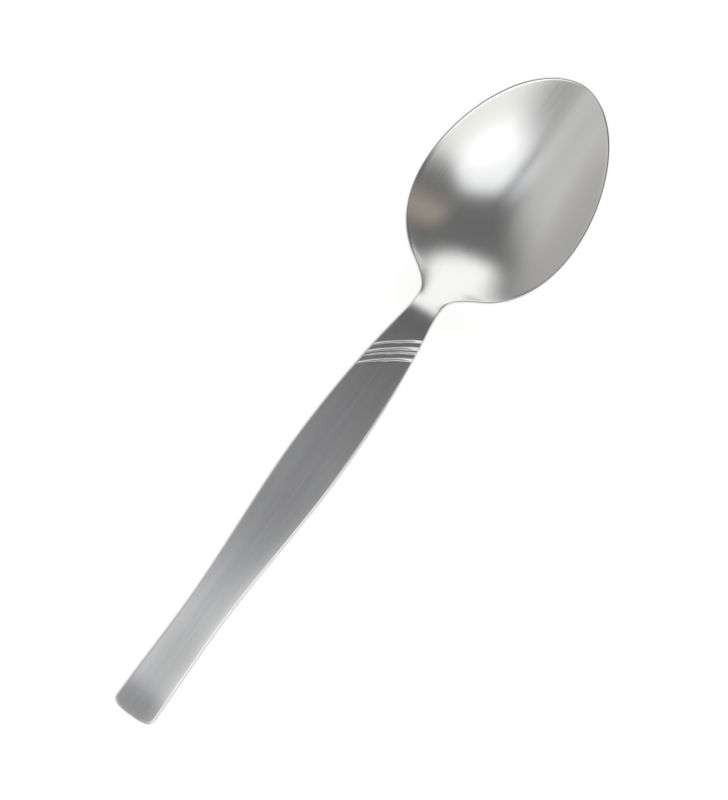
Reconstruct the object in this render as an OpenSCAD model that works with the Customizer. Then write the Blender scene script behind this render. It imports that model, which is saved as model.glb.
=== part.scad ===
// Teaspoon, one piece of stainless steel, stamped, ground and brushed.
// +X runs from the end of the handle to the tip of the bowl, and the show face is up, along +Z.
// It lies as on a table: the table is z = 0, and x = 0, y = 0 is the middle of its outline.
// Places along the spoon are measured from the end of the handle, and called "at" below.

/* [Length] */
// Length of the whole spoon, from the end of the handle to the tip of the bowl
overall_l = 138; // [115:1:170]
// Length of the bowl, from the narrowest part of the neck to the tip
bowl_l = 48; // [40:1:60]
// Length of the rounded corners at the end of the handle
corner_l = 2.2; // [1.4:0.1:3.2]
// Length of the flat under the end of the handle, on which the spoon rests
land_l = 6; // [4:0.5:10]

/* [Width] */
// Width of the handle at its end
end_w = 8.5; // [6.5:0.1:11]
// Width of the handle at its waist
waist_w = 7.8; // [6:0.1:10]
// Width of the handle where it is broadest
belly_w = 10.7; // [9:0.1:13]
// Width of the neck where it is narrowest
neck_w = 5.4; // [4.4:0.1:7]
// Width of the bowl
bowl_w = 31.2; // [26:0.2:38]

/* [Height] */
// Height of the show face on the crown of the neck
crown_h = 8.7; // [7.6:0.1:11]
// Height of the rim where the bowl is widest
rim_h = 7.2; // [5.5:0.1:8.4]
// Height of the rim at the tip of the bowl
tip_h = 7.9; // [6:0.1:9.5]

/* [Metal] */
// Thickness of the handle at its end
end_t = 1.5; // [1.2:0.1:2.2]
// Thickness of the handle along its length
handle_t = 1.9; // [1.5:0.1:2.6]
// Thickness of the neck
neck_t = 2.5; // [2:0.1:3.4]
// Thickness of the middle of the bowl
bowl_t = 1.1; // [0.8:0.1:1.6]
// Thickness of the rim of the bowl
rim_t = 0.9; // [0.7:0.1:1.4]
// How far the handle's show face is crowned above its long edges
camber = 0.13; // [0.05:0.01:0.3]
// Radius, seen from above, of the rounded edge all round
edge_r = 0.4; // [0.25:0.05:0.6]

/* [Grooves] */
// Distance of the groove nearest the bowl from the narrowest part of the neck
groove_gap = 8; // [6:0.2:12]
// Distance from the first groove to the last, along the handle
groove_run = 4; // [3.6:0.2:6]
// Width of a groove, along the handle
groove_w = 0.26; // [0.2:0.02:0.5]
// Depth of a groove
groove_d = 0.1; // [0.04:0.01:0.2]
// Radius of the arcs that the grooves follow
groove_r = 30; // [20:1:50]
// Slant of the grooves where they cross the middle of the handle, in degrees
groove_slant = 37; // [20:1:40]

/* [Hidden] */

// Where each groove crosses the middle of the handle, from the first at 0 to the last at 1
groove_shares = [0, 0.4, 0.61, 1];
// How far across a groove, going towards the bowl, it is deepest
groove_low_share = 0.75;
// Places along the handle as shares of its length: waist, belly and crown of the neck
waist_share = 0.237;
belly_share = 0.627;
crown_share = 0.916;
// Places along the bowl as shares of its length: lowest, and widest
low_share = 0.418;
widest_share = 0.473;
// Outline from belly to neck: how far along, how much width is left, and how steep
knee_shares = [0.866, 0.19, -1.97];
// Outline from neck to the widest part: how far along, how wide, and how steep
shoulder_shares = [0.253, 0.472, 2.54];
// Steepness of the show face at the end of the handle, over the land
end_slope_share = 1.12;
// Show face from the land up to the crown: how far along, how high, and how steep
arch_shares = [[0, 0, 1.17], [0.145, 0.305, 2.28], [0.555, 0.8, 0.67], [1, 1, 0]];
// Show face from the crown down to the lowest part of the bowl: how far along, how high, how steep
heel_shares = [
    [0, 1, 0], [0.263, 0.882, -1.32], [0.515, 0.398, -1.88], [0.725, 0.112, -0.89], [1, 0, 0]
];
// Steepness of the show face where it reaches the tip
tip_slope_share = 1.39;
// Rim beyond the shoulder: how far along, how much of the way up to the crown, and how steep
brow_shares = [0, -0.09, 1.95];
// Steepness of the rim where the bowl is widest and at the tip, where 1 runs straight between them
rim_slope_shares = [0.4, -0.7];
// Part of the curve across the spoon that follows the fourth power of the distance from the middle,
// along the handle and in the bowl
camber_share = 0.29;
dish_share = -0.12;
// Roundness of the corners of the handle, and of the front of the bowl, where 2 is an ellipse
corner_power = 3;
front_power = 1.87;
// How much the table flattens the underside, where it rests
flat_cut = 0.03;
// Length over which rows of points turn from straight across to the slant of the grooves
turn_l = 15;
// Counts of rows along each stretch of the spoon, the last being those round the tip
corner_n = 8;
handle_n = 20;
turn_n = 6;
groove_n = 4;
neck_n = 8;
heel_n = 20;
cheek_n = 8;
front_n = 14;
tip_n = 10;
// Counts of points from the middle to the edge on top, round the edge, and underneath
top_n = 9;
edge_n = 6;
under_n = 7;

handle_l = overall_l - bowl_l;
waist_at = waist_share * handle_l;
belly_at = belly_share * handle_l;
crown_at = crown_share * handle_l;
low_at = handle_l + low_share * bowl_l;
widest_at = handle_l + widest_share * bowl_l;
front_l = overall_l - widest_at;
grooves = [for (share = groove_shares) handle_l - groove_gap - share * groove_run];
grooves_from = min(grooves) - groove_w / 2;
grooves_to = max(grooves) + groove_w / 2;

// A smooth curve through knots of place, value and slope
function between(at, a, b) =
    let (w = b[0] - a[0], t = (at - a[0]) / w, u = 1 - t)
    a[1] * (1 + 2 * t) * u * u + b[1] * (1 + 2 * u) * t * t + w * t * u * (a[2] * u - b[2] * t);
function curve(at, knots, i = 0) =
    i == len(knots) - 2 || at < knots[i + 1][0]
        ? between(at, knots[i], knots[i + 1])
        : curve(at, knots, i + 1);
// Knots given as shares of a length and a height, set between two places
function placed(shares, from, length, base, height) =
    [for (k = shares) [from + k[0] * length, base + k[1] * height, k[2] * height / length]];
function ramp(share) = let (t = min(1, max(0, share))) t * t * (3 - 2 * t);

// Half the width, first without and then with the rounded corners at the end of the handle
knee = placed([knee_shares], belly_at, handle_l - belly_at, neck_w / 2, (belly_w - neck_w) / 2)[0];
handle_knots = [
    [0, end_w / 2, 0], [waist_at, waist_w / 2, 0], [belly_at, belly_w / 2, 0], knee,
    [handle_l, neck_w / 2, 0]
];
shoulder = placed([shoulder_shares], handle_l, widest_at - handle_l, 0, bowl_w / 2)[0];
heel_knots = [
    for (k = [[handle_l, neck_w / 2, 0], shoulder, [widest_at, bowl_w / 2, 0]])
        [k[0], pow(k[1], 2), 2 * k[1] * k[2]]
];
function rounded(share, power) = pow(max(0, 1 - pow(share, power)), 1 / power);
function span(at) =
    at < handle_l ? curve(at, handle_knots)
    : at < widest_at ? sqrt(curve(at, heel_knots))
    : bowl_w / 2 * rounded((at - widest_at) / front_l, front_power);
function half_w(at) = span(at) * (at < corner_l ? rounded(1 - at / corner_l, corner_power) : 1);

// Height of the show face along the middle of the spoon
arch_knots = placed(arch_shares, land_l, crown_at - land_l, handle_t, crown_h - handle_t);
drop_knots = placed(heel_shares, crown_at, low_at - crown_at, bowl_t, crown_h - bowl_t);
end_slope = end_slope_share * (handle_t - end_t) / land_l;
tip_slope = tip_slope_share * (tip_h - bowl_t) / (overall_l - low_at);
middle_knots = concat(
    [[0, end_t, end_slope]],
    arch_knots,
    [for (i = [1 : len(drop_knots) - 1]) drop_knots[i]],
    [[overall_l, tip_h, tip_slope]]
);
function middle_z(at) = curve(at, middle_knots);

// Height of the rim, which the dish of the bowl meets
neck_slope = (middle_z(handle_l + edge_r) - middle_z(handle_l - edge_r)) / (2 * edge_r);
rim_slope = (tip_h - rim_h) / front_l;
brow = placed([brow_shares], shoulder[0], bowl_l, rim_h, crown_h - rim_h)[0];
rim_knots = [
    [handle_l, middle_z(handle_l) - camber, neck_slope], brow,
    [widest_at, rim_h, rim_slope_shares[0] * rim_slope],
    [overall_l, tip_h, rim_slope_shares[1] * rim_slope]
];
function rim_z(at) = at < handle_l ? middle_z(at) - camber : curve(at, rim_knots);

// Height of the show face anywhere, without its grooves
function mix(a, b, share) = a + (b - a) * share;
function fourth(at) =
    mix(camber_share, dish_share, ramp((at - crown_at) / (shoulder[0] - crown_at)));
function dish(v, part) = (1 - part) * pow(v, 2) + part * pow(v, 4);
function face_z(at, y) =
    mix(middle_z(at), rim_z(at), dish(y / max(span(at), edge_r), fourth(at)));

// The grooves follow arcs: how far such an arc has moved along the spoon at a distance from the middle
function lean(y) =
    sqrt(max(0, pow(groove_r, 2) - pow(y + groove_r * sin(groove_slant), 2)))
        - groove_r * cos(groove_slant);
function cup(share) =
    let (off = share - groove_low_share, reach = off < 0 ? groove_low_share : 1 - groove_low_share)
    max(0, 1 - pow(off / reach, 2));
function groove_z(at, y) =
    at > handle_l ? 0
    : groove_d * max([for (g = grooves) cup((at - lean(y) - g) / groove_w + 1 / 2)]);

// Thickness along the middle and along the edge, square to the show face
middle_t = [
    [0, end_t, 0], [land_l, handle_t, 0], [belly_at, handle_t, 0], [crown_at, neck_t, 0],
    [handle_l, neck_t, 0], [low_at, bowl_t, 0], [overall_l, rim_t, 0]
];
edge_t = [
    for (k = middle_t) [k[0], k[0] > handle_l ? rim_t : k[1] - camber, 0]
];
function thickness(at, y) =
    mix(curve(at, middle_t), curve(at, edge_t), pow(y / max(span(at), edge_r), 2));
// How much longer than the thickness a plumb line through the metal is, where the face slopes
function plumb(at, y) =
    let (
        side = at < belly_at ? edge_r : -edge_r,
        dx = (face_z(at + side, y) - face_z(at, y)) / side,
        dy = (face_z(at, abs(y)) - face_z(at, abs(y) - edge_r)) / edge_r
    )
    sqrt(1 + dx * dx + dy * dy);
function top_z(at, y) = face_z(at, y) - groove_z(at, y);
function under_z(at, y) = max(0, face_z(at, y) - thickness(at, y) * plumb(at, y) - flat_cut);

// Rows of points cross the spoon at these places along its middle
function steps(from, to, n, first = 0) = [for (i = [first : n - 1]) from + (to - from) * i / n];
turn_from = grooves_from - turn_l;
brow_to = 2 * shoulder[0] - handle_l;
row_n = front_n + tip_n;
rows = concat(
    [for (i = [0 : corner_n - 1]) corner_l * (1 - pow(cos(90 * i / corner_n), 2 / corner_power))],
    steps(corner_l, turn_from, handle_n),
    steps(turn_from, grooves_from, turn_n),
    [for (g = [len(grooves) - 1 : -1 : 0]) for (k = [0 : groove_n])
        grooves[g] + groove_w * (k / groove_n - 1 / 2)],
    steps(grooves_to, handle_l, neck_n, 1),
    steps(handle_l, brow_to, heel_n),
    steps(brow_to, widest_at, cheek_n),
    [for (i = [0 : row_n]) widest_at + front_l * pow(sin(90 * i / row_n), 2 / front_power)]
);
last = len(rows) - 1;

// Between the belly and the neck the rows lean over to run along the grooves
function turned(at) = ramp((at - turn_from) / turn_l) * ramp((handle_l - at) / (handle_l - grooves_to));
function out_at(at, side, n = 4) =
    n == 0 ? at : at + turned(at) * lean(side * (half_w(out_at(at, side, n - 1)) - edge_r));
function outline_point(row, side) =
    let (at = out_at(rows[row], side)) [at, side * half_w(at)];

// The outline, once round, counter-clockwise as seen from above, with the row of each point
loop = concat(
    [for (i = [0 : last]) [outline_point(i, -1), i]],
    [for (i = [last - 1 : -1 : 1]) [outline_point(i, 1), i]]
);
count = len(loop);
// Which way is inward from a point of the outline
function inward(i) =
    let (d = loop[(i + 1) % count][0] - loop[(i + count - 1) % count][0])
    [-d[1], d[0]] / norm(d);

// Rows at both ends fan out from one point of the middle line
first_middle = corner_n;
last_middle = last - tip_n;
function middle_row(row) = min(last_middle, max(first_middle, row));

// Points from the middle line outward over the top, round the edge, and back underneath
function across(i) =
    let (
        row = loop[i][1],
        from = rows[middle_row(row)],
        edge = loop[i][0],
        in = inward(i),
        shelf = edge + in * edge_r,
        bend = turned(from)
    )
    concat(
        [for (k = [1 : top_n]) on_row(from, shelf, bend, k / top_n, 1)],
        [for (k = [1 : edge_n - 1]) rounding(edge, in, 90 - 180 * k / edge_n)],
        [for (k = [under_n : -1 : 1]) on_row(from, shelf, bend, k / under_n, -1)]
    );
function on_row(from, shelf, bend, share, face) =
    let (
        y = shelf[1] * share,
        at = from + (shelf[0] - from) * share + bend * (lean(y) - share * lean(shelf[1]))
    )
    [at, y, face > 0 ? top_z(at, y) : under_z(at, y)];
function rounding(edge, in, angle) =
    let (
        p = edge + in * edge_r * (1 - cos(angle)),
        top = top_z(p[0], p[1]),
        under = under_z(p[0], p[1])
    )
    [p[0], p[1], (top + under) / 2 + (top - under) / 2 * sin(angle)];

width = top_n + edge_n - 1 + under_n;
skin = [for (i = [0 : count - 1]) each across(i)];
spine_top = [for (r = [first_middle : last_middle]) [rows[r], 0, top_z(rows[r], 0)]];
spine_under = [for (r = [first_middle : last_middle]) [rows[r], 0, under_z(rows[r], 0)]];
function on_skin(i, k) = (i % count) * width + k;
function on_spine(i, under) =
    count * width + under * len(spine_top) + middle_row(loop[i % count][1]) - first_middle;
function pair(a, b, c, d) = [[a, b, c], [a, c, d]];
faces = concat(
    [for (i = [0 : count - 1]) for (k = [0 : width - 2])
        each pair(on_skin(i, k), on_skin(i + 1, k), on_skin(i + 1, k + 1), on_skin(i, k + 1))],
    [for (i = [0 : count - 1]) for (f = spine_faces(on_spine(i, 0), on_spine(i + 1, 0),
        on_skin(i + 1, 0), on_skin(i, 0))) f],
    [for (i = [0 : count - 1]) for (f = spine_faces(on_spine(i + 1, 1), on_spine(i, 1),
        on_skin(i, width - 1), on_skin(i + 1, width - 1))) f]
);
function spine_faces(a, b, c, d) = a == b ? [[a, c, d]] : pair(a, b, c, d);

module spoon() {
    color("silver")
        translate([-overall_l / 2, 0, 0])
            polyhedron(concat(skin, spine_top, spine_under), faces);
}

spoon();
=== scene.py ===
"""A satin steel teaspoon: the spoon's skin as a fine mesh, its brushed finish, and the studio round it."""
import math

import bpy
import numpy as np
from mathutils import Matrix, Vector


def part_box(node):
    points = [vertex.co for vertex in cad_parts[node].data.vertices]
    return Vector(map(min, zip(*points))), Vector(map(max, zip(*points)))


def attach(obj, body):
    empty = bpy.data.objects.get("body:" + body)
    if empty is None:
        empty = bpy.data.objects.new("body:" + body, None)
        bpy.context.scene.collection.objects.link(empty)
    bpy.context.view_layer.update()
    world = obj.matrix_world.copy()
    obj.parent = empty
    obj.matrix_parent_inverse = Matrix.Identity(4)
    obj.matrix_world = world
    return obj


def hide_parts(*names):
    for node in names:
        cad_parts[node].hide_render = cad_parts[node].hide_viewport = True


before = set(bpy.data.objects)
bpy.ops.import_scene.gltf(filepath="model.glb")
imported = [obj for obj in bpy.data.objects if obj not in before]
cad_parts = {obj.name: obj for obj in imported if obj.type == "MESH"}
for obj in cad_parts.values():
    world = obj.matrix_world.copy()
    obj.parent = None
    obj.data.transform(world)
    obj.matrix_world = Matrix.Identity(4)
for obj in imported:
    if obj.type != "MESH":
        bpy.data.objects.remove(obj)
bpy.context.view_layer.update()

bl_info = {
    "name": "Satin Teaspoon",
    "version": (1, 0, 0),
    "blender": (4, 5, 0),
    "location": "View3D > Sidebar > Teaspoon",
    "description": "Builds a one-piece brushed steel teaspoon and the studio it is shown in",
    "category": "Add Mesh",
}

MM = 0.001
SPOON_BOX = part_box("spoon")


def length(name, description, millimetres):
    """A length that a user can change, given here in millimetres."""
    return bpy.props.FloatProperty(
        name=name, description=description, default=millimetres * MM, min=0.0, unit="LENGTH"
    )


class TeaspoonSizes(bpy.types.PropertyGroup):
    """Sizes of the spoon. Places along it are measured from the end of the handle."""

    overall_l: bpy.props.FloatProperty(
        name="Overall length",
        description="From the end of the handle to the tip of the bowl",
        default=SPOON_BOX[1].x - SPOON_BOX[0].x, min=0.1, unit="LENGTH",
    )
    bowl_l: length("Bowl length", "From the narrowest part of the neck to the tip", 48)
    corner_l: length("Corner length", "Length of the rounded corners of the handle's end", 2.2)
    land_l: length("Land length", "Flat under the end of the handle", 6)
    end_w: length("End width", "Width of the handle at its end", 8.5)
    waist_w: length("Waist width", "Width of the handle at its waist", 7.8)
    belly_w: length("Belly width", "Width of the handle where it is broadest", 10.7)
    neck_w: length("Neck width", "Width of the neck where it is narrowest", 5.4)
    bowl_w: length("Bowl width", "Width of the bowl", 31.2)
    crown_h: length("Crown height", "Height of the show face on the crown of the neck", 8.7)
    rim_h: length("Rim height", "Height of the rim where the bowl is widest", 7.2)
    tip_h: length("Tip height", "Height of the rim at the tip of the bowl", 7.9)
    end_t: length("End thickness", "Thickness of the handle at its end", 1.5)
    handle_t: length("Handle thickness", "Thickness of the handle along its length", 1.9)
    neck_t: length("Neck thickness", "Thickness of the neck", 2.5)
    bowl_t: length("Bowl thickness", "Thickness of the middle of the bowl", 1.1)
    rim_t: length("Rim thickness", "Thickness of the rim of the bowl", 0.9)
    camber: length("Camber", "How far the handle is crowned above its long edges", 0.13)
    edge_r: length("Edge radius", "Radius, from above, of the rounded edge all round", 0.4)
    flat_cut: length("Rest flat", "How much the underside is flattened where it rests", 0.03)
    groove_gap: length("Groove gap", "From the narrowest neck to the first groove", 8)
    groove_run: length("Groove run", "From the first groove to the last", 4)
    groove_w: length("Groove width", "Width of a groove along the handle", 0.26)
    groove_d: length("Groove depth", "Depth of a groove", 0.1)
    groove_r: length("Groove radius", "Radius of the arcs that the grooves follow", 30)
    groove_slant: bpy.props.FloatProperty(
        name="Groove slant", description="Slant of the grooves on the middle of the handle",
        default=math.radians(37), subtype="ANGLE", unit="ROTATION",
    )
    turn_l: length("Turning length", "Over which the rows turn to the slant of the grooves", 15)


class SteelFinish(bpy.types.PropertyGroup):
    """Colour and polish of the brushed steel."""

    colour: bpy.props.FloatVectorProperty(
        name="Steel colour", description="Reflected colour of the smooth steel in the bowl",
        default=(0.66, 0.66, 0.66), size=3, min=0, max=1, subtype="COLOR",
    )
    shade: bpy.props.FloatVectorProperty(
        name="Streak colour", description="Colour in the darkest brush streaks of the handle",
        default=(0.575, 0.575, 0.585), size=3, min=0, max=1, subtype="COLOR",
    )
    roughness: bpy.props.FloatProperty(
        name="Roughness", description="Mean roughness of the satin finish",
        default=0.2, min=0, max=1, subtype="FACTOR",
    )
    roughness_spread: bpy.props.FloatProperty(
        name="Roughness spread", description="How much the streaks change the roughness",
        default=0.05, min=0, max=1, subtype="FACTOR",
    )
    anisotropy: bpy.props.FloatProperty(
        name="Anisotropy", description="How much wider highlights are across the brushing",
        default=0.3, min=0, max=1, subtype="FACTOR",
    )
    scratch_depth: length("Scratch depth", "Depth of the finest brush scratches", 0.0012)


# Shape of the spoon, as shares of its sizes: how far along, how much of the height or width, how steep
GROOVE_SHARES = (0, 0.4, 0.61, 1)
GROOVE_LOW_SHARE = 0.75
WAIST_SHARE, BELLY_SHARE, CROWN_SHARE = 0.237, 0.627, 0.916
LOW_SHARE, WIDEST_SHARE = 0.418, 0.473
KNEE_SHARES = (0.866, 0.19, -1.97)
SHOULDER_SHARES = (0.253, 0.472, 2.54)
END_SLOPE_SHARE = 1.12
ARCH_SHARES = ((0, 0, 1.17), (0.145, 0.305, 2.28), (0.555, 0.8, 0.67), (1, 1, 0))
HEEL_SHARES = ((0, 1, 0), (0.263, 0.882, -1.32), (0.515, 0.398, -1.88), (0.725, 0.112, -0.89), (1, 0, 0))
TIP_SLOPE_SHARE = 1.39
BROW_SHARES = (0, -0.09, 1.95)
RIM_SLOPE_SHARES = (0.4, -0.7)
CAMBER_SHARE, DISH_SHARE = 0.29, -0.12
CORNER_POWER, FRONT_POWER = 3, 1.87


def curve(at, knots):
    """A smooth curve through knots of place, value and slope."""
    result = None
    for (a, value_a, slope_a), (b, value_b, slope_b) in zip(knots, knots[1:]):
        w = b - a
        t = (at - a) / w
        u = 1 - t
        piece = (
            value_a * (1 + 2 * t) * u * u + value_b * (1 + 2 * u) * t * t
            + w * t * u * (slope_a * u - slope_b * t)
        )
        result = piece if result is None else np.where(at < a, result, piece)
    return result


def placed(shares, start, span, base, height):
    """Knots given as shares of a length and a height, set between two places."""
    return [(start + p * span, base + v * height, s * height / span) for p, v, s in shares]


def ramp(share):
    """A smooth rise from 0 to 1."""
    t = np.clip(share, 0, 1)
    return t * t * (3 - 2 * t)


def rounded(share, power):
    """Height of a rounded end, from 1 at its start to 0 at its tip: a power of 2 makes it an ellipse."""
    return np.maximum(0, 1 - np.abs(share) ** power) ** (1 / power)


class SpoonForm:
    """The spoon's outline, its show face and its underside, worked out from the sizes."""

    def __init__(self, sizes):
        self.z = s = sizes
        self.handle_l = s.overall_l - s.bowl_l
        self.belly_at = BELLY_SHARE * self.handle_l
        self.crown_at = CROWN_SHARE * self.handle_l
        self.low_at = self.handle_l + LOW_SHARE * s.bowl_l
        self.widest_at = self.handle_l + WIDEST_SHARE * s.bowl_l
        self.front_l = s.overall_l - self.widest_at
        self.grooves = [self.handle_l - s.groove_gap - g * s.groove_run for g in GROOVE_SHARES]
        self.grooves_from = min(self.grooves) - s.groove_w / 2
        self.grooves_to = max(self.grooves) + s.groove_w / 2
        self.turn_from = self.grooves_from - s.turn_l
        self.set_outline()
        self.set_heights()
        self.set_thickness()

    def set_outline(self):
        """Half widths along the spoon. Those of the heel are squared, to round it at the neck."""
        s = self.z
        knee = placed([KNEE_SHARES], self.belly_at, self.handle_l - self.belly_at,
                      s.neck_w / 2, (s.belly_w - s.neck_w) / 2)[0]
        self.handle_knots = [
            (0, s.end_w / 2, 0), (WAIST_SHARE * self.handle_l, s.waist_w / 2, 0),
            (self.belly_at, s.belly_w / 2, 0), knee, (self.handle_l, s.neck_w / 2, 0),
        ]
        self.shoulder = placed([SHOULDER_SHARES], self.handle_l, self.widest_at - self.handle_l,
                               0, s.bowl_w / 2)[0]
        widths = [(self.handle_l, s.neck_w / 2, 0), self.shoulder, (self.widest_at, s.bowl_w / 2, 0)]
        self.heel_knots = [(p, v * v, 2 * v * m) for p, v, m in widths]

    def set_heights(self):
        """Heights of the show face along its middle line, and of the bowl's rim."""
        s = self.z
        arch = placed(ARCH_SHARES, s.land_l, self.crown_at - s.land_l, s.handle_t,
                      s.crown_h - s.handle_t)
        drop = placed(HEEL_SHARES, self.crown_at, self.low_at - self.crown_at, s.bowl_t,
                      s.crown_h - s.bowl_t)
        end_slope = END_SLOPE_SHARE * (s.handle_t - s.end_t) / s.land_l
        tip_slope = TIP_SLOPE_SHARE * (s.tip_h - s.bowl_t) / (s.overall_l - self.low_at)
        self.middle_knots = [(0, s.end_t, end_slope), *arch, *drop[1:],
                             (s.overall_l, s.tip_h, tip_slope)]
        before, after = self.middle_z(self.handle_l - s.edge_r), self.middle_z(self.handle_l + s.edge_r)
        rim_slope = (s.tip_h - s.rim_h) / self.front_l
        brow = placed([BROW_SHARES], self.shoulder[0], s.bowl_l, s.rim_h, s.crown_h - s.rim_h)[0]
        self.rim_knots = [
            (self.handle_l, self.middle_z(self.handle_l) - s.camber, (after - before) / (2 * s.edge_r)),
            brow, (self.widest_at, s.rim_h, RIM_SLOPE_SHARES[0] * rim_slope),
            (s.overall_l, s.tip_h, RIM_SLOPE_SHARES[1] * rim_slope),
        ]

    def set_thickness(self):
        """Thicknesses along the middle line and along the long edges."""
        s = self.z
        self.middle_t = [
            (0, s.end_t, 0), (s.land_l, s.handle_t, 0), (self.belly_at, s.handle_t, 0),
            (self.crown_at, s.neck_t, 0), (self.handle_l, s.neck_t, 0), (self.low_at, s.bowl_t, 0),
            (s.overall_l, s.rim_t, 0),
        ]
        self.edge_t = [
            (p, s.rim_t if p > self.handle_l else t - s.camber, 0) for p, t, _ in self.middle_t
        ]

    def span(self, at):
        """Half the width, without the rounded corners at the end of the handle."""
        s = self.z
        heel = np.sqrt(np.maximum(0, curve(at, self.heel_knots)))
        front = s.bowl_w / 2 * rounded(np.maximum(0, at - self.widest_at) / self.front_l, FRONT_POWER)
        return np.where(at < self.handle_l, curve(at, self.handle_knots),
                        np.where(at < self.widest_at, heel, front))

    def half_w(self, at):
        """Half the width, with the rounded corners."""
        corner = rounded(np.maximum(0, 1 - at / self.z.corner_l), CORNER_POWER)
        return self.span(at) * corner

    def middle_z(self, at):
        """Height of the show face on the middle line."""
        return curve(at, self.middle_knots)

    def rim_z(self, at):
        """Height of the show face at its edge."""
        return np.where(at < self.handle_l, self.middle_z(at) - self.z.camber,
                        curve(at, self.rim_knots))

    def face_z(self, at, y):
        """Height of the show face without its grooves."""
        v = y / np.maximum(self.span(at), self.z.edge_r)
        bowl = ramp((at - self.crown_at) / (self.shoulder[0] - self.crown_at))
        part = CAMBER_SHARE + (DISH_SHARE - CAMBER_SHARE) * bowl
        dish = (1 - part) * v ** 2 + part * v ** 4
        middle = self.middle_z(at)
        return middle + (self.rim_z(at) - middle) * dish

    def lean(self, y):
        """How far the arc of a groove has moved along the spoon at a distance from the middle."""
        r, slant = self.z.groove_r, self.z.groove_slant
        return np.sqrt(np.maximum(0, r ** 2 - (y + r * math.sin(slant)) ** 2)) - r * math.cos(slant)

    def groove_z(self, at, y):
        """How deep the grooves are cut: each falls gently and rises steeply towards the bowl."""
        place = at - self.lean(y)
        across = [(place - g) / self.z.groove_w + 0.5 - GROOVE_LOW_SHARE for g in self.grooves]
        cups = [1 - (t / np.where(t < 0, GROOVE_LOW_SHARE, 1 - GROOVE_LOW_SHARE)) ** 2 for t in across]
        depth = self.z.groove_d * np.maximum(0, np.max(cups, axis=0))
        return np.where(at > self.handle_l, 0, depth)

    def thickness(self, at, y):
        """Thickness of the steel, square to the show face."""
        v = y / np.maximum(self.span(at), self.z.edge_r)
        middle, edge = curve(at, self.middle_t), curve(at, self.edge_t)
        return middle + (edge - middle) * v ** 2

    def plumb(self, at, y):
        """How much longer than the thickness a plumb line through the metal is, where the face slopes."""
        r = self.z.edge_r
        side = np.where(at < self.belly_at, r, -r)
        along = (self.face_z(at + side, y) - self.face_z(at, y)) / side
        across = (self.face_z(at, np.abs(y)) - self.face_z(at, np.abs(y) - r)) / r
        return np.sqrt(1 + along ** 2 + across ** 2)

    def top_z(self, at, y):
        """Height of the show face with its grooves."""
        return self.face_z(at, y) - self.groove_z(at, y)

    def under_z(self, at, y):
        """Height of the underside, flattened where it rests on the table."""
        flat = self.thickness(at, y) * self.plumb(at, y) + self.z.flat_cut
        return np.maximum(0, self.face_z(at, y) - flat)


# Rows of points along each stretch of the spoon, and points across its top, edge and underside
CORNER_N, HANDLE_N, TURN_N, GROOVE_N, GAP_N = 18, 110, 36, 10, 3
NECK_N, HEEL_N, CHEEK_N, FRONT_N, TIP_N = 30, 70, 30, 50, 40
TOP_N, EDGE_N, UNDER_N = 28, 12, 14
# How often the ends of the rows are moved along the grooves' arcs, until they stay where they are
LEAN_PASSES = 6


def spoon_rows(form):
    """Places along the middle of the spoon at which rows of points cross it."""
    s = form.z
    turns = np.linspace(0, 1, CORNER_N, endpoint=False) * math.pi / 2
    rows = [s.corner_l * (1 - np.cos(turns) ** (2 / CORNER_POWER))]
    rows.append(np.linspace(s.corner_l, form.turn_from, HANDLE_N, endpoint=False))
    rows.append(np.linspace(form.turn_from, form.grooves_from, TURN_N, endpoint=False))
    for g, following in zip(form.grooves[::-1], form.grooves[-2::-1] + [None]):
        rows.append(np.linspace(g - s.groove_w / 2, g + s.groove_w / 2, GROOVE_N + 1))
        if following is not None:
            gap = np.linspace(g + s.groove_w / 2, following - s.groove_w / 2, GAP_N + 2)
            rows.append(gap[1:-1])
    rows.append(np.linspace(form.grooves_to, form.handle_l, NECK_N, endpoint=False)[1:])
    brow_to = 2 * form.shoulder[0] - form.handle_l
    rows.append(np.linspace(form.handle_l, brow_to, HEEL_N, endpoint=False))
    rows.append(np.linspace(brow_to, form.widest_at, CHEEK_N, endpoint=False))
    sweep = np.linspace(0, math.pi / 2, FRONT_N + TIP_N + 1)
    rows.append(form.widest_at + form.front_l * np.sin(sweep) ** (2 / FRONT_POWER))
    return np.concatenate(rows)


def turned(form, at):
    """How far a row has turned to the slant of the grooves, from 0 to 1."""
    return (ramp((at - form.turn_from) / form.z.turn_l)
            * ramp((form.handle_l - at) / (form.handle_l - form.grooves_to)))


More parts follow.
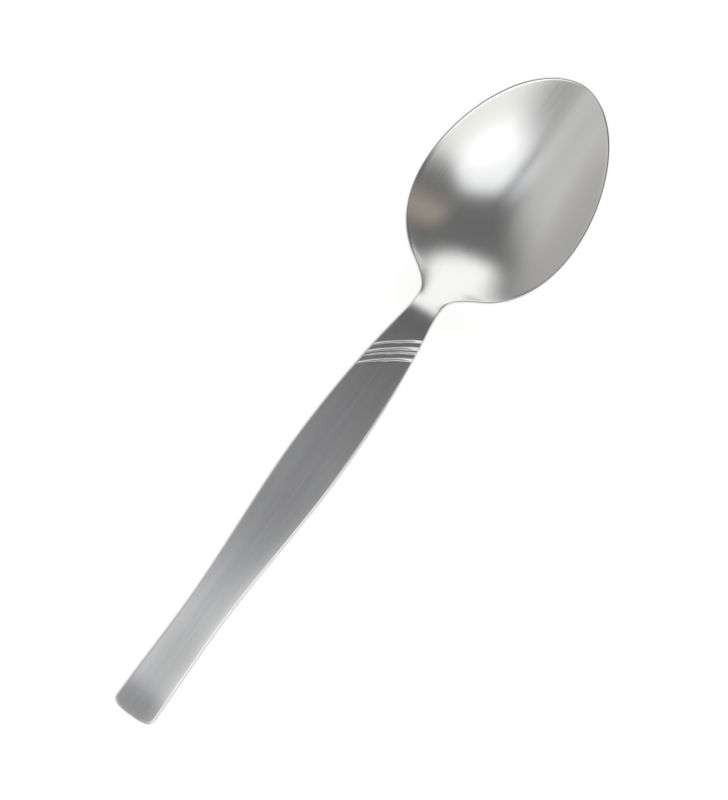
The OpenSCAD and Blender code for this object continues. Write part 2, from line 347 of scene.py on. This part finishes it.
def spoon_skin(form):
    """Vertices and faces of the whole spoon, as one closed skin."""
    rows = spoon_rows(form)
    last = len(rows) - 1
    order = np.concatenate([np.arange(last + 1), np.arange(last - 1, 0, -1)])
    side = np.concatenate([-np.ones(last + 1), np.ones(last - 1)])
    at = rows[order]
    for _ in range(LEAN_PASSES):
        shelf_y = side * (form.half_w(at) - form.z.edge_r)
        at = rows[order] + turned(form, rows[order]) * form.lean(shelf_y)
    at[0], at[last] = 0, form.z.overall_l
    outline = np.stack([at, side * form.half_w(at)], axis=1)
    outline[last, 1] = outline[0, 1] = 0
    ahead = np.roll(outline, -1, axis=0) - np.roll(outline, 1, axis=0)
    inward = np.stack([-ahead[:, 1], ahead[:, 0]], axis=1)
    inward /= np.linalg.norm(inward, axis=1, keepdims=True)

    middle_row = np.clip(order, CORNER_N, last - TIP_N)
    start = rows[middle_row]
    bend = turned(form, start)
    shelf = outline + inward * form.z.edge_r
    columns = []
    for k in range(1, TOP_N + 1):
        columns.append(on_row(form, start, shelf, bend, k / TOP_N, form.top_z))
    for k in range(1, EDGE_N):
        columns.append(rounding(form, outline, inward, math.pi * (0.5 - k / EDGE_N)))
    for k in range(UNDER_N, 0, -1):
        columns.append(on_row(form, start, shelf, bend, k / UNDER_N, form.under_z))
    skin = np.stack(columns, axis=1)
    spine = rows[CORNER_N:last - TIP_N + 1]
    zero = np.zeros_like(spine)
    top = np.stack([spine, zero, form.top_z(spine, zero)], axis=1)
    under = np.stack([spine, zero, form.under_z(spine, zero)], axis=1)
    vertices = np.concatenate([skin.reshape(-1, 3), top, under])
    vertices[:, 0] -= form.z.overall_l / 2
    return vertices, skin_faces(len(order), len(columns), middle_row - CORNER_N, len(spine))


def on_row(form, start, shelf, bend, share, height):
    """Points at one share of the way from the middle line to the rounded edge."""
    y = shelf[:, 1] * share
    at = start + (shelf[:, 0] - start) * share + bend * (form.lean(y) - share * form.lean(shelf[:, 1]))
    return np.stack([at, y, height(at, y)], axis=1)


def rounding(form, outline, inward, angle):
    """Points round the edge, from the top at a quarter turn to the underside at minus a quarter."""
    p = outline + inward * form.z.edge_r * (1 - math.cos(angle))
    top, under = form.top_z(p[:, 0], p[:, 1]), form.under_z(p[:, 0], p[:, 1])
    z = (top + under) / 2 + (top - under) / 2 * math.sin(angle)
    return np.stack([p[:, 0], p[:, 1], z], axis=1)


def skin_faces(count, width, spine_index, spine_count):
    """Quads over the skin, and quads or triangles along the middle line on both faces."""
    faces = []
    base_top, base_under = count * width, count * width + spine_count
    for i in range(count):
        j = (i + 1) % count
        for k in range(width - 1):
            faces.append((i * width + k, i * width + k + 1, j * width + k + 1, j * width + k))
        a, b = spine_index[i], spine_index[j]
        inner, outer = i * width, j * width
        strip = [base_top + a, inner, outer] + ([base_top + b] if a != b else [])
        faces.append(tuple(strip))
        inner, outer = i * width + width - 1, j * width + width - 1
        strip = [base_under + a] + ([base_under + b] if a != b else []) + [outer, inner]
        faces.append(tuple(strip))
    return [tuple(int(v) for v in f) for f in faces]


def new_material(name):
    """A node material without nodes, and the lists that its nodes and links go into."""
    material = bpy.data.materials.new(name)
    material.use_nodes = True
    nodes = material.node_tree.nodes
    nodes.clear()
    return material, nodes, material.node_tree.links


def painted(nodes, name):
    """The node that reads a value stored on the mesh's points."""
    node = nodes.new("ShaderNodeAttribute")
    node.attribute_name = name
    return node


def math_node(nodes, links, operation, *values):
    """The outcome of a math node whose inputs are numbers or the sockets of other nodes."""
    node = nodes.new("ShaderNodeMath")
    node.operation = operation
    for socket, value in zip(node.inputs, values):
        if isinstance(value, bpy.types.NodeSocket):
            links.new(value, socket)
        else:
            socket.default_value = value
    return node.outputs["Value"]


def steel_material(finish):
    """Brushed stainless steel: fine lengthwise scratches, broad cloudy bands, and polished edges."""
    material, nodes, links = new_material("Satin Steel")
    output = nodes.new("ShaderNodeOutputMaterial")
    steel = nodes.new("ShaderNodeBsdfPrincipled")
    steel.inputs["Metallic"].default_value = 1
    steel.inputs["Anisotropic"].default_value = finish.anisotropy
    links.new(steel.outputs["BSDF"], output.inputs["Surface"])

    place = nodes.new("ShaderNodeTexCoord")
    across = nodes.new("ShaderNodeVectorTransform")
    across.vector_type = "VECTOR"
    across.convert_from, across.convert_to = "OBJECT", "WORLD"
    across.inputs["Vector"].default_value = (0, 1, 0)
    links.new(across.outputs["Vector"], steel.inputs["Tangent"])

    scratches = streaks(nodes, links, place, "Scratches", SCRATCHES)
    bands = streaks(nodes, links, place, "Bands", BANDS)
    clouds = streaks(nodes, links, place, "Clouds", CLOUDS)

    tint = nodes.new("ShaderNodeMix")
    tint.data_type = "RGBA"
    tint.inputs["A"].default_value = (*finish.colour, 1)
    tint.inputs["B"].default_value = (*finish.shade, 1)
    brushing = painted(nodes, BRUSHING).outputs["Fac"]
    streaky = spread(nodes, links, bands, STREAKY, STREAKY_SPREAD)
    links.new(math_node(nodes, links, "MULTIPLY", streaky, brushing), tint.inputs["Factor"])
    links.new(tint.outputs["Result"], steel.inputs["Base Color"])

    polish = painted(nodes, POLISH).outputs["Fac"]
    rough = spread(nodes, links, scratches, finish.roughness, finish.roughness_spread)
    cloudy = spread(nodes, links, clouds, 0, finish.roughness_spread / 2)
    rough = math_node(nodes, links, "ADD", cloudy, rough)
    rough = math_node(nodes, links, "MULTIPLY_ADD", polish, -POLISH_SMOOTHING, rough)
    links.new(rough, steel.inputs["Roughness"])

    bump = nodes.new("ShaderNodeBump")
    bump.inputs["Distance"].default_value = finish.scratch_depth
    links.new(brushing, bump.inputs["Strength"])
    links.new(scratches, bump.inputs["Height"])
    links.new(bump.outputs["Normal"], steel.inputs["Normal"])
    return material


# Brush marks: repeats to the metre along, across and up, then how many octaves and how strong they are
SCRATCHES = ((90, 3000, 90), 3, 0.6)
BANDS = ((30, 700, 30), 2, 0.5)
CLOUDS = ((60, 110, 60), 2, 0.5)
# How much of the streak colour the handle has, and how much more or less in each streak
STREAKY, STREAKY_SPREAD = 0.4, 0.6
# Names of the values stored on the points: 1 on the rounded edge, and from 1 on the handle to 0 in the bowl
POLISH, BRUSHING = "edge_polish", "brushing"
# How much less rough the rounded edge is
POLISH_SMOOTHING = 0.06


def streaks(nodes, links, place, label, marks):
    """Noise drawn out along the spoon, from 0 to 1."""
    scale, octaves, strength = marks
    mapping = nodes.new("ShaderNodeMapping")
    mapping.label = label
    mapping.inputs["Scale"].default_value = scale
    links.new(place.outputs["Object"], mapping.inputs["Vector"])
    noise = nodes.new("ShaderNodeTexNoise")
    noise.inputs["Scale"].default_value = 1
    noise.inputs["Detail"].default_value = octaves
    noise.inputs["Roughness"].default_value = strength
    links.new(mapping.outputs["Vector"], noise.inputs["Vector"])
    return noise.outputs["Fac"]


def spread(nodes, links, value, middle, reach):
    """A 0 to 1 value turned into one that spreads evenly about a middle."""
    remap = nodes.new("ShaderNodeMapRange")
    remap.inputs["To Min"].default_value = middle - reach
    remap.inputs["To Max"].default_value = middle + reach
    links.new(value, remap.inputs["Value"])
    return remap.outputs["Result"]


def spoon_mesh(form):
    """The spoon's mesh with smooth shading, its polished edge and its brushed part marked."""
    vertices, faces = spoon_skin(form)
    mesh = bpy.data.meshes.new("spoon_skin")
    mesh.from_pydata(vertices.tolist(), [], faces)
    mesh.validate()
    mesh.shade_smooth()
    # The two middle lines' points come last and are counted on like the rest, so a few are marked too
    column = np.arange(len(vertices)) % (TOP_N + EDGE_N - 1 + UNDER_N)
    on_edge = (column >= TOP_N - 1) & (column < TOP_N + EDGE_N - 1)
    polish = np.where(on_edge, 1.0, 0.0)
    at = vertices[:, 0] + form.z.overall_l / 2
    brushing = ramp((form.shoulder[0] - at) / (form.shoulder[0] - form.crown_at))
    for name, values in ((POLISH, polish), (BRUSHING, brushing)):
        mesh.attributes.new(name, "FLOAT", "POINT").data.foreach_set("value", values.astype(np.float32))
    return mesh


class TEASPOON_OT_spoon(bpy.types.Operator):
    """Build the spoon: handle, neck and bowl in one piece, with its four slanted grooves"""

    bl_idname = "teaspoon.spoon"
    bl_label = "Spoon"

    def execute(self, context):
        form = SpoonForm(context.scene.teaspoon_sizes)
        spoon = bpy.data.objects.new("spoon_body", spoon_mesh(form))
        context.scene.collection.objects.link(spoon)
        spoon.data.materials.append(steel_material(context.scene.teaspoon_finish))
        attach(spoon, "root")
        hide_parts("spoon")
        return {"FINISHED"}


class StudioSettings(bpy.types.PropertyGroup):
    """The camera, the floor and how bright the studio is."""

    spoon_angle: bpy.props.FloatProperty(
        name="Spoon angle", description="Angle at which the spoon points up across the picture",
        default=math.radians(54.06), subtype="ANGLE", unit="ROTATION",
    )
    camera_height: bpy.props.FloatProperty(
        name="Camera height", description="Height of the camera above the table",
        default=1.5, min=0.3, unit="LENGTH",
    )
    view_height: length("View height", "Length of the table that the picture's long side shows", 142.4)
    shift_right: bpy.props.FloatProperty(
        name="Shift right", description="How far right of the spoon's middle the camera stands",
        default=0.00115, unit="LENGTH",
    )
    shift_up: bpy.props.FloatProperty(
        name="Shift up", description="How far towards the picture's top the camera stands",
        default=0.00026, unit="LENGTH",
    )
    room_grey: bpy.props.FloatProperty(
        name="Room grey", description="Brightness of the room round the soft panels",
        default=0.19, min=0, subtype="FACTOR",
    )
    floor_colour: bpy.props.FloatVectorProperty(
        name="Floor colour", description="Colour of the table",
        default=(0.55, 0.55, 0.55), size=3, min=0, max=1, subtype="COLOR",
    )
    floor_glow: bpy.props.FloatProperty(
        name="Floor glow", description="How much of the table's white doesn't depend on the light",
        default=0.7, min=0, max=1, subtype="FACTOR",
    )


# Soft panels round the table, as seen from it: corners as (compass angle in the picture, angle from
# straight up), how bright, what colour, and how wide the soft edges are in degrees. The key and low
# panels light the left half of the bowl, the left and near ones its right half, the near one and the
# left glow the handle, and the back one the heel. The side one makes the brownish patch in the bowl.
PANELS = {
    "key_panel": (((-100, 12), (-115, 32), (-90, 40), (-65, 50), (-40, 58), (-32, 46), (-40, 24)),
                  1.22, (0.99, 1, 1), 12),
    "low_panel": (((-90, 33), (-70, 85), (-60, 100), (-28, 74), (-33, 64), (-60, 40)),
                  1.02, (0.99, 1, 0.93), 18),
    "left_panel": (((108, 100), (108, 75), (142, 42), (-165, 40), (-142, 54), (-140, 68), (-170, 78)),
                   0.36, (1.02, 1, 0.95), 18),
    "left_glow": (((-160, 8), (-160, 24), (-136, 32), (-126, 26), (-126, 9)), 0.6, (0.97, 1, 1.12), 17),
    "near_panel": (((128, 50), (145, 18), (-150, 14), (-108, 32), (-112, 60), (-150, 54)),
                   0.58, (1, 1, 0.93), 38),
    "back_panel": (((110, 46), (92, 36), (75, 30), (22, 52), (25, 88), (92, 95)),
                   1.25, (0.99, 1, 0.98), 21),
    "side_panel": (((-5, 50), (-5, 80), (-15, 75), (-15, 45)), 0.38, (1.25, 1, 0.74), 18),
}
# The dome's radius in metres and the step of its grid in degrees
DOME_RADIUS, DOME_STEP = 6, 3
# Name of the colour stored on the dome's points
GLOW = "glow"
# The table in metres: radii of two rings near its middle, of its flat part, and of the bend at its edge
SWEEP_RINGS = (0.5, 1)
SWEEP_FLAT, SWEEP_BEND = 2.7, 0.3
# Steps in the table's bend, and points round each of its rings
BEND_N, RING_N = 8, 96
# Long side of the camera's sensor in millimetres, and how far the camera sees in metres
LONG_SIDE, SIGHT = 36, 10


def picture_frame(angle):
    """Rotation that turns the picture's right, up and towards the camera into the spoon's frame."""
    return Matrix.Rotation(-angle, 3, "Z")


def towards(compass, lean):
    """A direction from its compass angle in the picture and its angle from straight up, in degrees."""
    a, b = math.radians(compass), math.radians(lean)
    return Vector((math.cos(a) * math.sin(b), math.sin(a) * math.sin(b), math.cos(b)))


def panel_cover(ways, corners, soft):
    """How much of a panel lies in each direction: 1 well inside its corners, 0 outside, soft between."""
    rim = [towards(*corner) for corner in corners]
    middle = sum(rim, Vector())
    cover = np.ones(len(ways))
    for a, b in zip(rim, rim[1:] + rim[:1]):
        inward = a.cross(b).normalized()
        if inward.dot(middle) < 0:
            inward.negate()
        cover *= ramp(ways @ np.array(inward) / math.sin(math.radians(soft)) + 0.5)
    return cover


def light_dome(studio, turn):
    """A dome over the table, grey like the room and glowing where the soft panels stand."""
    around, down = round(360 / DOME_STEP), round(90 / DOME_STEP)
    grid = [towards(j * DOME_STEP, i * DOME_STEP) for i in range(1, down + 1) for j in range(around)]
    ways = np.array(grid + [towards(0, 0)])
    top = len(ways) - 1
    faces = [(top, (j + 1) % around, j) for j in range(around)]
    for i in range(down - 1):
        for j in range(around):
            a, b = i * around + j, i * around + (j + 1) % around
            faces.append((a, b, b + around, a + around))
    glow = np.full((len(ways), 3), studio.room_grey)
    for corners, brightness, colour, soft in PANELS.values():
        glow += brightness * panel_cover(ways, corners, soft)[:, None] * np.array(colour)
    mesh = bpy.data.meshes.new("light_dome")
    mesh.from_pydata((DOME_RADIUS * ways @ np.array(turn).T).tolist(), [], faces)
    glow = np.concatenate([glow, np.ones((len(ways), 1))], axis=1)
    mesh.attributes.new(GLOW, "FLOAT_COLOR", "POINT").data.foreach_set("color", glow.ravel())
    material, nodes, links = new_material("Soft Light")
    output = nodes.new("ShaderNodeOutputMaterial")
    light = nodes.new("ShaderNodeEmission")
    links.new(painted(nodes, GLOW).outputs["Color"], light.inputs["Color"])
    links.new(light.outputs["Emission"], output.inputs["Surface"])
    material.cycles.emission_sampling = "NONE"
    mesh.materials.append(material)
    dome = bpy.data.objects.new("light_dome", mesh)
    dome.visible_camera = False
    bpy.context.scene.collection.objects.link(dome)


def white_sweep(studio):
    """The table: a wide disc that bends up at its edge."""
    rings = [(r, 0) for r in SWEEP_RINGS]
    for k in range(BEND_N + 1):
        a = math.pi / 2 * k / BEND_N
        rings.append((SWEEP_FLAT + SWEEP_BEND * math.sin(a), SWEEP_BEND * (1 - math.cos(a))))
    vertices, faces = [(0, 0, 0)], []
    for r, z in rings:
        for k in range(RING_N):
            a = 2 * math.pi * k / RING_N
            vertices.append((r * math.cos(a), r * math.sin(a), z))
    for k in range(RING_N):
        j = (k + 1) % RING_N
        faces.append((0, 1 + k, 1 + j))
        for ring in range(len(rings) - 1):
            base = 1 + ring * RING_N
            faces.append((base + k, base + RING_N + k, base + RING_N + j, base + j))
    mesh = bpy.data.meshes.new("table_sweep")
    mesh.from_pydata(vertices, [], faces)
    mesh.shade_smooth()
    mesh.materials.append(table_material(studio))
    table = bpy.data.objects.new("table_sweep", mesh)
    bpy.context.scene.collection.objects.link(table)


def table_material(studio):
    """A matte table with a glow that only the camera and the steel see, so it is white with a shadow."""
    material, nodes, links = new_material("Table White")
    output = nodes.new("ShaderNodeOutputMaterial")
    matte = nodes.new("ShaderNodeBsdfDiffuse")
    matte.inputs["Color"].default_value = (*studio.floor_colour, 1)
    glow = nodes.new("ShaderNodeEmission")
    both = nodes.new("ShaderNodeAddShader")
    links.new(matte.outputs["BSDF"], both.inputs[0])
    links.new(glow.outputs["Emission"], both.inputs[1])
    ray = nodes.new("ShaderNodeLightPath")
    seen = math_node(nodes, links, "MAXIMUM", ray.outputs["Is Camera Ray"], ray.outputs["Is Glossy Ray"])
    strength = math_node(nodes, links, "MULTIPLY", seen, studio.floor_glow)
    links.new(strength, glow.inputs["Strength"])
    links.new(both.outputs["Shader"], output.inputs["Surface"])
    return material


class TEASPOON_OT_studio(bpy.types.Operator):
    """Build the white table, the soft panels, the room's grey and the camera above the spoon"""

    bl_idname = "teaspoon.studio"
    bl_label = "Studio"

    def execute(self, context):
        scene, studio = context.scene, context.scene.teaspoon_studio
        turn = picture_frame(studio.spoon_angle)
        white_sweep(studio)
        light_dome(studio, turn)
        world = bpy.data.worlds.new("Room")
        world.use_nodes = True
        room = world.node_tree.nodes["Background"]
        room.inputs["Color"].default_value = (studio.room_grey,) * 3 + (1,)
        scene.world = world
        scene.view_settings.view_transform = "Standard"

        lens = bpy.data.cameras.new("Overhead")
        lens.sensor_width = LONG_SIDE
        lens.lens = LONG_SIDE * studio.camera_height / studio.view_height
        lens.clip_end = SIGHT
        camera = bpy.data.objects.new("Overhead", lens)
        camera.location = turn @ Vector((studio.shift_right, studio.shift_up, studio.camera_height))
        camera.rotation_euler = turn.to_euler()
        scene.collection.objects.link(camera)
        scene.camera = camera
        return {"FINISHED"}


class TEASPOON_PT_sidebar(bpy.types.Panel):
    """Sizes, finish and studio of the teaspoon"""

    bl_idname = "TEASPOON_PT_sidebar"
    bl_label = "Teaspoon"
    bl_space_type = "VIEW_3D"
    bl_region_type = "UI"
    bl_category = "Teaspoon"

    def draw(self, context):
        scene = context.scene
        for group in (scene.teaspoon_sizes, scene.teaspoon_finish, scene.teaspoon_studio):
            box = self.layout.box()
            for name in group.__annotations__:
                box.prop(group, name)
        self.layout.operator(TEASPOON_OT_spoon.bl_idname)
        self.layout.operator(TEASPOON_OT_studio.bl_idname)


CLASSES = (TeaspoonSizes, SteelFinish, StudioSettings, TEASPOON_OT_spoon, TEASPOON_OT_studio,
           TEASPOON_PT_sidebar)
GROUPS = {"teaspoon_sizes": TeaspoonSizes, "teaspoon_finish": SteelFinish,
          "teaspoon_studio": StudioSettings}


def register():
    for cls in CLASSES:
        bpy.utils.register_class(cls)
    for name, group in GROUPS.items():
        setattr(bpy.types.Scene, name, bpy.props.PointerProperty(type=group))


def unregister():
    for name in GROUPS:
        delattr(bpy.types.Scene, name)
    for cls in reversed(CLASSES):
        bpy.utils.unregister_class(cls)


def main():
    register()
    bpy.ops.teaspoon.spoon()
    bpy.ops.teaspoon.studio()


if __name__ == "__main__":
    main()
